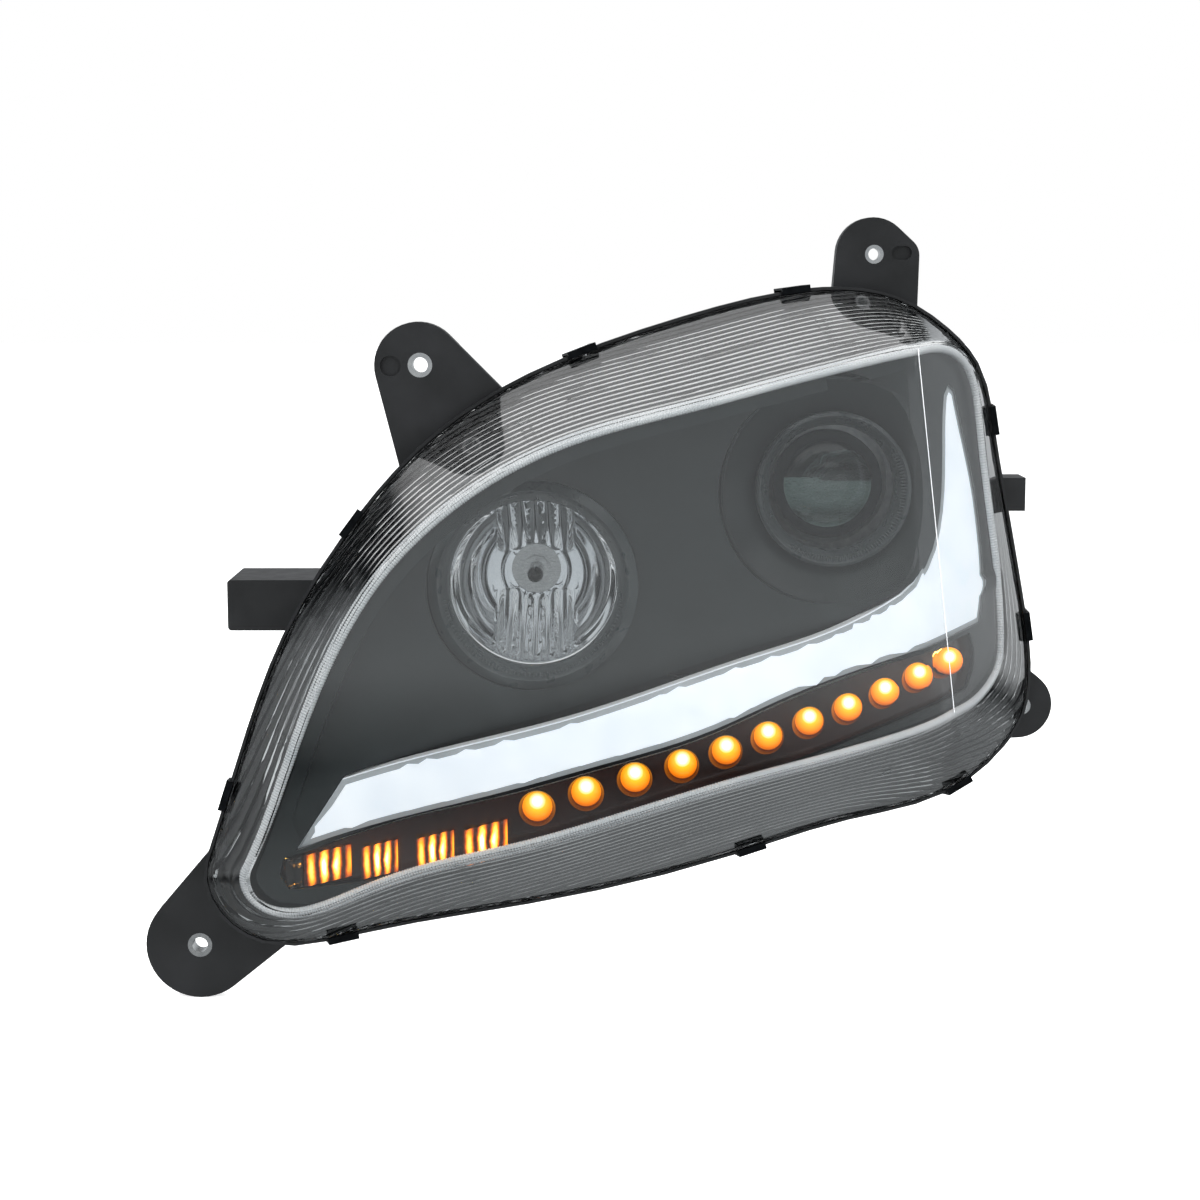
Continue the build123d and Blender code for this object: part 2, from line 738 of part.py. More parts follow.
def bulb_glass(x, z, y0, y1):
    return rod(x, z, y0 + 5.5, y1, 5.5) + Pos(x, y0 + 5.5, z) * Sphere(5.5)


def bulb_base(x, z, y):
    """Bayonet base: it fits the reflector's neck, with a connector behind."""
    body = turned(x, z, [(0, y), (9, y), (9, y + 3), (16.93, y + 3), (16.93, y + 8), (15, y + 8),
                         (15, y + 12), (12, y + 12), (12, y + 24), (0, y + 24)])
    body += block(x - 8, x + 8, y + 20, y + 34, z - 11, z + 11)
    return body - block(x - 6.4, x + 6.4, y + 26, y + 35, z - 9.4, z + 9.4)


highGlass = (27, 64)
lowGlass = (142, 178)


def high_beam_bulb_glass():
    return bulb_glass(highX, highZ, *highGlass)


def high_beam_bulb_base():
    return bulb_base(highX, highZ, highGlass[1])


def low_beam_bulb_glass():
    return bulb_glass(lowX, lowZ, *lowGlass)


def low_beam_bulb_base():
    return bulb_base(lowX, lowZ, lowGlass[1])


def projector_lens():
    r = projectorLensRadius
    vertex, edge = 57.5, 71.0
    bulge = (r ** 2 + (edge - vertex) ** 2) / (2 * (edge - vertex))
    body = rod(lowX, lowZ, vertex, edge, r) & Pos(lowX, vertex + bulge, lowZ) * Sphere(bulge)
    return body + rod(lowX, lowZ, edge, edge + 3, r)


def projector_holder():
    """Die-cast barrel between the glass lens and the reflector bowl."""
    body = turned(lowX, lowZ, [(29.8, 74.2), (29.8, 80), (41, 96.5), (41, 100), (56, 100), (56, 96.5),
                               (44.5, 96.5), (36, 80), (36, 68.5), (32, 68.5), (32, 74.2)])
    for hole in carrier_screw_rods():
        body -= hole
    return body


def lens_retainer():
    return turned(lowX, lowZ, [(30.2, 66.5), (37.6, 66.5), (37.6, 75), (36.1, 75), (36.1, 68.2),
                               (30.6, 68.2)])


def cutoff_shield():
    plate = rod(lowX, lowZ, 92.4, 93.8, 36.8)
    upper = block(lowX - 60, lowX, 90, 96, lowZ + 0.8, lowZ + 60)
    step = block(lowX - 1, lowX + 60, 90, 96, lowZ - 0.8, lowZ + 60)
    return plate - upper - step


def projector_reflector():
    inner = parabola(104.2, 176, 43, 17)
    outer = parabola(104.2, 176, 43, 17, wall=2.2)
    body = bowl(lowX, lowZ, inner, outer, [(17, 188), (20, 188), (20, 177)])
    body += tube(lowX, lowZ, 104.1, 106.5, 56, 43.4)
    for hole in carrier_screw_rods():
        body -= hole
    return body


def rear_cap(x, z, y, neck):
    """Quarter-turn cap: a spigot in the neck, a flange behind it and a grip bar."""
    body = rod(x, z, y - 5, y + 1, neck - 0.35) - rod(x, z, y - 6, y - 2, neck - 3)
    body += rod(x, z, y + 0.5, y + 6, neck + 7)
    body += block(x - neck * 0.8, x + neck * 0.8, y + 5, y + 16, z - 4, z + 4)
    for k in range(24):
        angle = radians(15 * k)
        r = neck + 8
        body -= rod(x + r * cos(angle), z + r * sin(angle), y, y + 8, 2.2)
    return body


def cap_seals():
    return Compound(children=[tube(x, z, y + 0.02, y + 0.48, neck + 5, neck + 1)
                              for x, z, y, neck in ((lowX, lowZ, lowCapY, lowNeck),
                                                    (highX, highZ, highCapY, highNeck))])


# ---- electrics

def main_connector():
    x, z, y = connectorX, connectorZ, connectorY
    body = block(x - 24, x + 24, 168, y + 24, z - 14, z + 14)
    body += block(x - 31, x + 31, y + 0.02, y + 3, z - 19, z + 19)
    body -= block(x - 21.5, x + 21.5, y - 8, y + 30, z - 11.5, z + 11.5)
    return body + block(x - 4, x + 4, y + 6, y + 20, z + 13.5, z + 17)


def connector_pins():
    pins = []
    for row in (-5.5, 5.5):
        for k in range(4):
            x = connectorX - 15 + 10 * k
            pins.append(block(x - 1.2, x + 1.2, connectorY - 8, connectorY + 8,
                              connectorZ + row - 0.5, connectorZ + row + 0.5))
    return Compound(children=pins)


def light_driver():
    """Finned aluminium box of the LED driver, screwed to the rear wall over its gasket."""
    start = wall_plane(driverX, driverZ) * Pos(0, 0, 1)
    body = extrude(start * Rectangle(84, 62), 16)
    for k in range(9):
        fin = start * Pos(-34 + 8.5 * k, 0) * Rectangle(2.4, 58)
        body += extrude(fin, 24)
    ears = start * (Pos(-46, 0) * Rectangle(14, 20) + Pos(46, 0) * Rectangle(14, 20))
    body += extrude(ears, 4)
    for hole in driver_screw_rods(2.05):
        body -= hole
    return body


def driver_screw_rods(radius):
    start = wall_plane(driverX, driverZ)
    return [extrude(start * Pos(side * 47.5, 0, -6) * Circle(radius), 14) for side in (-1, 1)]


def driver_gasket():
    start = wall_plane(driverX, driverZ)
    return extrude(start * Rectangle(76, 54), 1)


def vent_caps():
    caps = []
    for x, z in ventPlaces:
        y = wall_y(x)
        caps.append(rod(x, z, y + 3.2, y + 16, 8) - rod(x, z, y + 1, y + 12.1, 5.05))
    return Compound(children=caps)


def screw(plane, radius, long):
    head = extrude(plane * Circle(radius * 2), radius * 1.3)
    cross = plane * Pos(0, 0, radius * 0.8) * (Rectangle(radius * 2.2, 0.9) + Rectangle(0.9, radius * 2.2))
    return head + extrude(plane * Circle(radius), -long) - extrude(cross, radius)


def driver_screws():
    start = wall_plane(driverX, driverZ)
    return Compound(children=[screw(start * Pos(side * 47.5, 0, 5.02), 2.0, 8) for side in (-1, 1)])


def screw_behind(x, z, y, radius, long):
    return screw(Plane(origin=(x, y, z), x_dir=(1, 0, 0), z_dir=(0, 1, 0)), radius, long)


def carrier_screws():
    return Compound(children=[screw_behind(x, z, 106.52, 1.8, 9) for x, z in carrier_screw_places()])


def bezel_screws():
    """Screws through the rear wall into the bezel's posts, each on the wall's slope."""
    screws = []
    for x, z in bezelPosts:
        screws.append(screw_behind(x, z, wall_y(x) + 1.6, 1.7, 16))
    return Compound(children=screws)


nodes = {
    "outer_lens": outer_lens, "lens_seal": lens_seal, "lens_clips": lens_clips,
    "rear_housing": rear_housing, "mounting_sleeves": mounting_sleeves, "bezel": bezel,
    "high_beam_ring": high_beam_ring, "low_beam_ring": low_beam_ring,
    "daytime_blade": blade_light, "daytime_light_box": blade_light_box,
    "daytime_board": blade_board, "daytime_leds": blade_leds,
    "turn_reflector": turn_reflector, "turn_cell_lenses": turn_cell_lenses,
    "turn_board": turn_board, "turn_leds": turn_leds,
    "aim_carrier": carrier, "pivot_bush": pivot_bush, "pivot_stud": pivot_stud,
    "adjuster_sockets": adjuster_sockets,
    "vertical_adjuster_stud": lambda: adjuster_stud(0), "vertical_adjuster_knob": lambda: adjuster_knob(0),
    "horizontal_adjuster_stud": lambda: adjuster_stud(1),
    "horizontal_adjuster_knob": lambda: adjuster_knob(1),
    "high_beam_reflector": high_beam_reflector, "high_beam_bulb_glass": high_beam_bulb_glass,
    "high_beam_bulb_base": high_beam_bulb_base, "projector_lens": projector_lens,
    "lens_retainer": lens_retainer, "projector_holder": projector_holder,
    "cutoff_shield": cutoff_shield, "projector_reflector": projector_reflector,
    "low_beam_bulb_glass": low_beam_bulb_glass, "low_beam_bulb_base": low_beam_bulb_base,
    "high_beam_cap": lambda: rear_cap(highX, highZ, highCapY, highNeck),
    "low_beam_cap": lambda: rear_cap(lowX, lowZ, lowCapY, lowNeck), "cap_seals": cap_seals,
    "main_connector": main_connector, "connector_pins": connector_pins,
    "light_driver": light_driver, "driver_gasket": driver_gasket, "driver_screws": driver_screws,
    "carrier_screws": carrier_screws, "bezel_screws": bezel_screws, "vent_caps": vent_caps,
}

if __name__ == "__main__":
    for name, make in nodes.items():
        export_step(make(), f"parts/{name}.step")
        print(name)
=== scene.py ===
import json
from math import cos, pi, radians, sin, sqrt

import bmesh
import bpy
from mathutils import Matrix, Vector
from mathutils.bvhtree import BVHTree

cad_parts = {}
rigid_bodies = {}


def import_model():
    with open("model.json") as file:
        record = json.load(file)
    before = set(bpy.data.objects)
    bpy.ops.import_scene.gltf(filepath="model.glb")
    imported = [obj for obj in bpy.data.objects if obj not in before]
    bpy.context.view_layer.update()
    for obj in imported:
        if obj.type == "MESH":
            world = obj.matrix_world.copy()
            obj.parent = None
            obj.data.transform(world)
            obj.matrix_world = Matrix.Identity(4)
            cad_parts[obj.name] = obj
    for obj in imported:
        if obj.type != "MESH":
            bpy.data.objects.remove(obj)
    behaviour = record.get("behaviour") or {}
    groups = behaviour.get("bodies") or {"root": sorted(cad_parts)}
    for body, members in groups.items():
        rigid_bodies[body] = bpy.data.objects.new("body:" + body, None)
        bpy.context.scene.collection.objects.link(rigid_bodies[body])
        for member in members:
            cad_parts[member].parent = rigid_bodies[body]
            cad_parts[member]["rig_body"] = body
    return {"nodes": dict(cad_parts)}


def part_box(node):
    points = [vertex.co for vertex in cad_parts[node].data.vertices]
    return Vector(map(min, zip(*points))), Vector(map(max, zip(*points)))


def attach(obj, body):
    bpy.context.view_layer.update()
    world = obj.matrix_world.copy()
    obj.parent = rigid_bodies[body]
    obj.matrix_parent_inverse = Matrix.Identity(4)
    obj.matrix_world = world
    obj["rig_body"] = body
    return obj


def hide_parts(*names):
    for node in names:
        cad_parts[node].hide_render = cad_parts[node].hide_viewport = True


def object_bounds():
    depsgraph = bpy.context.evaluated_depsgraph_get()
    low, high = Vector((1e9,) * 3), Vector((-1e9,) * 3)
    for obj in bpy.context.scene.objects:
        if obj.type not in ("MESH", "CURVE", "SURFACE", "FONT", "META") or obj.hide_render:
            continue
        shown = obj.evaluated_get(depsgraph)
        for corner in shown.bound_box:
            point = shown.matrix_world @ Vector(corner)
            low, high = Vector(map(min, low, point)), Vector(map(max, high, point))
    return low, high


mm = 0.001
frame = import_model()
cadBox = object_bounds()
nodes = frame["nodes"]
scene = bpy.context.scene


def colour(code):
    channels = [int(code[i:i + 2], 16) / 255 for i in (1, 3, 5)]
    linear = [c / 12.92 if c <= 0.04045 else ((c + 0.055) / 1.055) ** 2.4 for c in channels]
    return (*linear, 1)


def addNode(tree, kind, settings=None, links=None):
    node = tree.nodes.new(kind)
    for name, value in (settings or {}).items():
        if isinstance(name, int) or name in node.inputs:
            node.inputs[name].default_value = value
        else:
            setattr(node, name, value)
    for name, source in (links or {}).items():
        tree.links.new(source, node.inputs[name])
    return node


def startMaterial(name):
    material = bpy.data.materials.new(name)
    material.use_nodes = True
    tree = material.node_tree
    tree.nodes.clear()
    place = addNode(tree, "ShaderNodeTexCoord").outputs["Object"]
    return material, tree, place


def endMaterial(tree, shader):
    addNode(tree, "ShaderNodeOutputMaterial", {}, {"Surface": shader})


def ramp(tree, factor, stops):
    node = addNode(tree, "ShaderNodeValToRGB", {}, {"Fac": factor})
    band = node.color_ramp
    while len(band.elements) < len(stops):
        band.elements.new(0.5)
    for element, (place, code) in zip(band.elements, stops):
        element.position = place
        element.color = colour(code)
    return node.outputs["Color"]


# Bump of a moulded or cast skin, where grain is the size of one bump in millimetres.
def grainBump(tree, place, grain, depth):
    noise = addNode(tree, "ShaderNodeTexNoise", {"Scale": 1 / (grain * mm), "Detail": 3.0}, {"Vector": place})
    return addNode(tree, "ShaderNodeBump", {"Strength": 0.35, "Distance": depth * mm},
                   {"Height": noise.outputs["Fac"]}).outputs["Normal"]


def glossChange(tree, place, size, low, high):
    noise = addNode(tree, "ShaderNodeTexNoise", {"Scale": 1 / (size * mm), "Detail": 4.0}, {"Vector": place})
    spread = addNode(tree, "ShaderNodeMapRange", {"From Min": 0.3, "From Max": 0.7, "To Min": low,
                                                  "To Max": high}, {"Value": noise.outputs["Fac"]})
    return spread.outputs["Result"]


# Injection-moulded plastic: spark-eroded grain, and a little lighter where it is handled.
def mouldedPlastic(name, base, light, rough, grain, depth, coat=0.0):
    material, tree, place = startMaterial(name)
    cloud = addNode(tree, "ShaderNodeTexNoise", {"Scale": 1 / (38 * mm), "Detail": 5.0}, {"Vector": place})
    shade = ramp(tree, cloud.outputs["Fac"], [(0.35, base), (0.7, light)])
    sheen = glossChange(tree, place, 9, rough - 0.05, rough + 0.05)
    shader = addNode(tree, "ShaderNodeBsdfPrincipled",
                     {"IOR": 1.5, "Coat Weight": coat, "Coat Roughness": 0.08},
                     {"Base Color": shade, "Roughness": sheen,
                      "Normal": grainBump(tree, place, grain, depth)})
    endMaterial(tree, shader.outputs[0])
    return material


# Metal with a rolled, cast or plated skin: the stretch draws its grain out along one way.
def plainMetal(name, base, light, rough, grain, depth, stretch=(1, 1, 1)):
    material, tree, place = startMaterial(name)
    drawn = addNode(tree, "ShaderNodeMapping", {"Scale": stretch}, {"Vector": place}).outputs["Vector"]
    cloud = addNode(tree, "ShaderNodeTexNoise", {"Scale": 1 / (6 * mm), "Detail": 4.0}, {"Vector": drawn})
    shade = ramp(tree, cloud.outputs["Fac"], [(0.3, base), (0.75, light)])
    sheen = glossChange(tree, drawn, 2.5, rough - 0.06, rough + 0.06)
    shader = addNode(tree, "ShaderNodeBsdfPrincipled", {"Metallic": 1.0},
                     {"Base Color": shade, "Roughness": sheen,
                      "Normal": grainBump(tree, drawn, grain, depth)})
    endMaterial(tree, shader.outputs[0])
    return material


# A clear moulding or glass: light passes it without a dark shadow, as through thin walls.
def clearMoulding(name, base, rough, ior, grain=None, depth=0.0, shadow=0.9, gloss=0.5):
    material, tree, place = startMaterial(name)
    links = {}
    if grain:
        links["Normal"] = grainBump(tree, place, grain, depth)
    glass = addNode(tree, "ShaderNodeBsdfPrincipled", {"Base Color": colour(base), "Roughness": rough,
                                                       "IOR": ior, "Transmission Weight": 1.0,
                                                       "Specular IOR Level": gloss}, links)
    clear = addNode(tree, "ShaderNodeBsdfTransparent", {"Color": (shadow, shadow, shadow, 1)})
    ray = addNode(tree, "ShaderNodeLightPath")
    both = addNode(tree, "ShaderNodeMixShader", {}, {"Fac": ray.outputs["Is Shadow Ray"]})
    tree.links.new(glass.outputs[0], both.inputs[1])
    tree.links.new(clear.outputs[0], both.inputs[2])
    endMaterial(tree, both.outputs[0])
    return material


# Vacuum-metallised plastic under clear lacquer: a mirror with the faint waves of its moulding.
def mirrorCoating(name, base, rough):
    material, tree, place = startMaterial(name)
    shader = addNode(tree, "ShaderNodeBsdfPrincipled", {"Base Color": colour(base), "Metallic": 1.0},
                     {"Roughness": glossChange(tree, place, 14, max(rough - 0.02, 0.01), rough + 0.02),
                      "Normal": grainBump(tree, place, 6, 0.03)})
    endMaterial(tree, shader.outputs[0])
    return material


# A milky moulding with light behind it, a little uneven as light guides are.
def litPlastic(name, base, glow, strength, grain=1.2):
    material, tree, place = startMaterial(name)
    cloud = addNode(tree, "ShaderNodeTexNoise", {"Scale": 1 / (30 * mm), "Detail": 2.0}, {"Vector": place})
    shade = ramp(tree, cloud.outputs["Fac"], [(0.3, base), (0.7, glow)])
    shader = addNode(tree, "ShaderNodeBsdfPrincipled", {"Roughness": 0.25, "IOR": 1.5,
                                                        "Emission Strength": strength},
                     {"Base Color": shade, "Emission Color": shade,
                      "Normal": grainBump(tree, place, grain, 0.02)})
    endMaterial(tree, shader.outputs[0])
    return material


# A lamp lens over an LED: near white at its core, through amber, to dark brown at its edge.
def litOptic(name, strength):
    material, tree, place = startMaterial(name)
    spot = addNode(tree, "ShaderNodeUVMap", {"uv_map": "UVMap"}).outputs["UV"]
    centred = addNode(tree, "ShaderNodeMapping", {"Location": (-0.5, -0.68, 0)}, {"Vector": spot})
    reach = addNode(tree, "ShaderNodeVectorMath", {"operation": "LENGTH"}, {0: centred.outputs["Vector"]})
    glow = ramp(tree, reach.outputs["Value"], [(0.1, "#fffef4"), (0.17, "#fff2a8"), (0.25, "#ffae24"),
                                               (0.38, "#ff9412"), (0.52, "#e2720a"), (0.68, "#7a2e04")])
    shader = addNode(tree, "ShaderNodeBsdfPrincipled", {"Roughness": 0.12, "IOR": 1.5,
                                                        "Emission Strength": strength},
                     {"Base Color": glow, "Emission Color": glow, "Normal": grainBump(tree, place, 2, 0.05)})
    endMaterial(tree, shader.outputs[0])
    return material


# Amber light in a fluted pane: bright and dark bars a flute apart, hottest in the middle.
def litFlutes(name, strength):
    material, tree, place = startMaterial(name)
    spot = addNode(tree, "ShaderNodeUVMap", {"uv_map": "UVMap"}).outputs["UV"]
    bars = addNode(tree, "ShaderNodeTexWave", {"Scale": 1.1, "Distortion": 1.6, "Detail": 3.0,
                                               "Detail Scale": 1.5}, {"Vector": spot})
    centred = addNode(tree, "ShaderNodeMapping", {"Location": (-0.5, -0.5, 0)}, {"Vector": spot})
    reach = addNode(tree, "ShaderNodeVectorMath", {"operation": "LENGTH"}, {0: centred.outputs["Vector"]})
    heat = addNode(tree, "ShaderNodeMath", {"operation": "MULTIPLY_ADD", 1: -1.15, 2: 1.0},
                   {0: reach.outputs["Value"]})
    level = addNode(tree, "ShaderNodeMath", {"operation": "MULTIPLY"},
                    {0: bars.outputs["Fac"], 1: heat.outputs["Value"]})
    glow = ramp(tree, level.outputs["Value"], [(0.05, "#2a0e05"), (0.22, "#a34407"), (0.4, "#ff9a1c"),
                                               (0.62, "#ffd469"), (0.8, "#fff6d2")])
    shader = addNode(tree, "ShaderNodeBsdfPrincipled", {"Roughness": 0.15, "Emission Strength": strength},
                     {"Base Color": glow, "Emission Color": glow, "Normal": grainBump(tree, place, 2, 0.05)})
    endMaterial(tree, shader.outputs[0])
    return material


finishes = {
    "polycarbonate": clearMoulding("Hard-coated polycarbonate", "#fbfdfd", 0.0, 1.585, gloss=0.12),
    "ribbedPolycarbonate": clearMoulding("Ribbed polycarbonate", "#fbfdfd", 0.03, 1.585, shadow=0.8),
    "quartz": clearMoulding("Quartz glass", "#fcfdff", 0.0, 1.46),
    # The grey-green tint of this glass is painted shade: it darkens the bowl seen through the projector lens.
    "borosilicate": clearMoulding("Pressed borosilicate glass tinted as painted shade", "#b4c2be", 0.01, 1.47, 3, 0.01),
    "polypropylene": mouldedPlastic("Grained black polypropylene", "#131415", "#1d1e20", 0.5, 0.9, 0.05),
    "nylon": mouldedPlastic("Glass-filled nylon", "#17181a", "#242628", 0.48, 0.7, 0.03),
    "bezelPlastic": mouldedPlastic("Satin black polycarbonate", "#15191a", "#1e2324", 0.38, 3.0, 0.004, 0.1),
    "ringPlastic": mouldedPlastic("Satin grey trim", "#2b3031", "#363c3d", 0.3, 3.0, 0.004, 0.3),
    "acetal": mouldedPlastic("White acetal", "#cfccc2", "#dedbd2", 0.4, 0.8, 0.01),
    "boxPlastic": mouldedPlastic("White reflecting polycarbonate", "#e9ebec", "#f4f5f6", 0.45, 0.8, 0.01),
    "boardMask": mouldedPlastic("White solder mask", "#dcdfd9", "#e8eae6", 0.4, 1.5, 0.01),
    "rubber": mouldedPlastic("Silicone rubber", "#141414", "#1e1e1f", 0.75, 0.6, 0.03),
    "foam": mouldedPlastic("Closed-cell foam", "#1a1a1b", "#2b2b2c", 0.9, 0.8, 0.15),
    "stripPlastic": mouldedPlastic("Amber-smoked polycarbonate", "#1a0a06", "#2c0f06", 0.22, 4, 0.004, 0.3),
    "springSteel": plainMetal("Blackened spring steel", "#17181a", "#26282a", 0.42, 1.2, 0.02),
    "zinc": plainMetal("Zinc-plated steel", "#b9bbbd", "#d3d4d3", 0.27, 1.1, 0.015),
    "brushed": plainMetal("Brushed stainless steel", "#a9abad", "#c3c4c4", 0.3, 0.6, 0.01, (1, 1, 8)),
    "castAlloy": plainMetal("Die-cast aluminium", "#8d9092", "#a9abac", 0.45, 1.4, 0.08),
    "brass": plainMetal("Tinned brass", "#c9ae70", "#dcc78e", 0.28, 1.0, 0.01),
    "mirror": mirrorCoating("Vacuum-metallised reflector", "#f4f5f6", 0.04),
    "milky": litPlastic("Milky light guide", "#dfe6ee", "#ecf1f6", 0.6),
    # The frosted teeth of the bead, and also the white of the painted crease highlight.
    "frosted": mouldedPlastic("Frosted teeth and painted crease highlight", "#dfe3e6", "#f4f6f7", 0.22, 2.5, 0.01, 0.4),
    # The guide's bevelled edge: the same plastic, and its grey is painted shade.
    "guideRimShade": mouldedPlastic("Light guide edge in painted shade", "#b7bdc1", "#c9ced2", 0.2, 1.5, 0.01, 0.5),
    "smoked": clearMoulding("Smoked polycarbonate", "#8f7a70", 0.02, 1.585, gloss=0.3),
    "ledWhite": litPlastic("Phosphor LED", "#fff6c8", "#fffbe4", 2.0),
    "ledAmber": litPlastic("Amber LED", "#ffc24a", "#ffd77a", 9.0),
    "amberOptic": litOptic("Amber LED lens", 1.3),
    "amberFlutes": litFlutes("Lit fluted pane", 1.7),
}
print("materials ready")


# A bmesh copy of a node with its loose triangles joined.
def cadMesh(name, merge=0.004):
    bm = bmesh.new()
    bm.from_mesh(nodes[name].data)
    bmesh.ops.remove_doubles(bm, verts=bm.verts, dist=merge * mm)
    return bm


def makePiece(name, bm, finish, body, angle=30, stands=()):
    mesh = bpy.data.meshes.new(name)
    bm.normal_update()
    for face in bm.faces:
        face.smooth = True
    for edge in bm.edges:
        edge.smooth = len(edge.link_faces) != 2 or edge.calc_face_angle(0) < radians(angle)
    bm.to_mesh(mesh)
    bm.free()
    piece = bpy.data.objects.new(name, mesh)
    scene.collection.objects.link(piece)
    for one in (finish if isinstance(finish, (list, tuple)) else [finish]):
        mesh.materials.append(finishes[one])
    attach(piece, body)
    if stands:
        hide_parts(*stands)
    return piece


def bodyOf(name):
    return nodes[name]["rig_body"]


# Each entry: finish, slot, and the angle in degrees above which an edge stays sharp.
smoothedNodes = {
    "lens_seal": ("rubber", "seal_black", 40),
    "lens_clips": ("springSteel", "clip_steel", 40),
    "rear_housing": ("polypropylene", "housing_black", 25),
    "bezel": ("bezelPlastic", "bezel_black", 25),
    "high_beam_ring": ("ringPlastic", "ring_black", 35),
    "low_beam_ring": ("ringPlastic", "ring_black", 35),
    "daytime_light_box": ("boxPlastic", "box_white", 35),
    "daytime_board": ("boardMask", "board", 35),
    "daytime_leds": ("ledWhite", "led_white", 35),
    "turn_board": ("boardMask", "board", 35),
    "turn_leds": ("ledAmber", "led_amber", 35),
    "aim_carrier": ("nylon", "carrier_grey", 35),
    "pivot_bush": ("acetal", "nylon_white", 35),
    "pivot_stud": ("zinc", "stud_zinc", 35),
    "adjuster_sockets": ("acetal", "nylon_white", 35),
    "vertical_adjuster_stud": ("zinc", "stud_zinc", 35),
    "horizontal_adjuster_stud": ("zinc", "stud_zinc", 35),
    "vertical_adjuster_knob": ("nylon", "knob_black", 35),
    "horizontal_adjuster_knob": ("nylon", "knob_black", 35),
    "high_beam_bulb_glass": ("quartz", "bulb_glass", 50),
    "high_beam_bulb_base": ("brushed", "bulb_base", 35),
    "low_beam_bulb_glass": ("quartz", "bulb_glass", 50),
    "low_beam_bulb_base": ("brushed", "bulb_base", 35),
    "projector_lens": ("borosilicate", "lens_glass", 35),
    "lens_retainer": ("springSteel", "retainer_black", 35),
    "projector_holder": ("castAlloy", "cast_alloy", 35),
    "cutoff_shield": ("brushed", "shield_steel", 35),
    "projector_reflector": ("mirror", "reflector_chrome", 35),
    "high_beam_cap": ("nylon", "cap_black", 35),
    "low_beam_cap": ("nylon", "cap_black", 35),
    "cap_seals": ("rubber", "cap_rubber", 35),
    "main_connector": ("nylon", "connector_grey", 35),
    "connector_pins": ("brass", "pin_brass", 35),
    "light_driver": ("castAlloy", "driver_alloy", 35),
    "driver_gasket": ("foam", "gasket", 35),
    "driver_screws": ("zinc", "screw_steel", 35),
    "carrier_screws": ("zinc", "screw_steel", 35),
    "bezel_screws": ("zinc", "screw_steel", 35),
    "vent_caps": ("rubber", "cap_rubber", 35),
}
for node, (finish, slot, angle) in smoothedNodes.items():
    makePiece(node + "_skin", cadMesh(node), finish, bodyOf(node), angle, [node])
print("plain pieces ready")


lensShape = {  # millimetres: the curved front and the side facet beyond its crease
    "front": -77.0, "innerSpan": 246.0, "innerRadius": 1400.0, "sweepRadius": 420.0,
    "crownRadius": 1500.0, "crownZ": 229.0, "creaseTop": (484.0, 405.0), "creaseBottom": (515.0, 157.0),
    "facetAngle": 50.0,
}
flankRibs = {  # millimetres: ribs inside the flank, level with the window, that fade out before the rim
    "first": 9.0, "last": 140.0, "pitch": 6.4, "steps": 4, "height": 1.3, "centre": (300.0, 230.0),
    "rimGap": 9, "fade": 4, "windowMargin": 2,
}
rimShape = {"rise": 8, "slope": 0.30}  # height over the seal's corner, and how fast the rim runs back
bead = {"depth": 6.5, "inset": 2.2, "radius": 3.0, "toothPitch": 1.9, "toothDepth": 0.2, "fewest": 40,
        "reach": 4}


# Depth of the curved front at a place, in millimetres along Y.
def crownDepth(x, z):
    s = lensShape
    radius = s["innerRadius"] if x < s["innerSpan"] else s["sweepRadius"]
    plan = radius - sqrt(max(radius ** 2 - (x - s["innerSpan"]) ** 2, 1))
    return s["front"] + s["crownRadius"] - sqrt((s["crownRadius"] - plan) ** 2 - (z - s["crownZ"]) ** 2)


def facetNormal():
    ends = lensShape["creaseTop"], lensShape["creaseBottom"]
    top, bottom = [Vector((x, crownDepth(x, z), z)) for x, z in ends]
    turn = radians(lensShape["facetAngle"])
    normal = Vector((cos(turn), sin(turn), 0)).cross(bottom - top).normalized()
    return top, normal if normal.y > 0 else -normal


facetTop, facetWay = facetNormal()


# Y of the window's surface, in metres, at a vertex's X and Z.
def windowDepth(point):
    x, z = point.x / mm, point.z / mm
    facet = facetTop.y - (facetWay.x * (x - facetTop.x) + facetWay.z * (z - facetTop.z)) / facetWay.y
    return max(crownDepth(x, z), facet) * mm


# Lays the window flat, or bends it back, so that one plane follows its edge all round.
def flattened(bm, way):
    for vert in bm.verts:
        vert.co.y += way * windowDepth(vert.co)


def cutLevel(bm, depth):
    return bmesh.ops.bisect_plane(bm, geom=bm.verts[:] + bm.edges[:] + bm.faces[:], dist=1e-6,
                                  plane_co=(0, depth * mm, 0), plane_no=(0, 1, 0))


def ribbedLens():
    bm = cadMesh("outer_lens")
    ribs = flankRibs
    flattened(bm, -1)
    depth = ribs["first"]
    while depth < ribs["last"]:
        cutLevel(bm, depth)
        depth += ribs["pitch"] / ribs["steps"]
    bm.normal_update()
    centre = Vector((ribs["centre"][0] * mm, 0, ribs["centre"][1] * mm))
    moves = []
    for vert in bm.verts:
        level = (vert.co.y / mm - ribs["first"]) / ribs["pitch"]
        outward = Vector((vert.co.x - centre.x, 0, vert.co.z - centre.z))
        inner = vert.normal.dot(outward) < 0
        flat = windowDepth(vert.co)
        rimGap = (flat + vert.co.y) / mm - rimLevel(vert.co.x / mm)
        if 0 < level and rimGap < -ribs["rimGap"] and abs(vert.normal.y) < 0.9 and inner:
            fade = min(1, (-ribs["rimGap"] - rimGap) / ribs["fade"])
            moves.append((vert, abs(sin(pi * level)) * ribs["height"] * mm * fade))
    for vert, move in moves:
        vert.co += vert.normal * move
    for face in bm.faces:
        windowFace = max(v.co.y for v in face.verts) < (ribs["first"] - ribs["windowMargin"]) * mm
        face.material_index = int(windowFace)
    flattened(bm, 1)
    return makePiece("clear_lens", bm, ["ribbedPolycarbonate", "polycarbonate"], "housing", 20,
                     ["outer_lens"])


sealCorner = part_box("lens_seal")[0] / mm


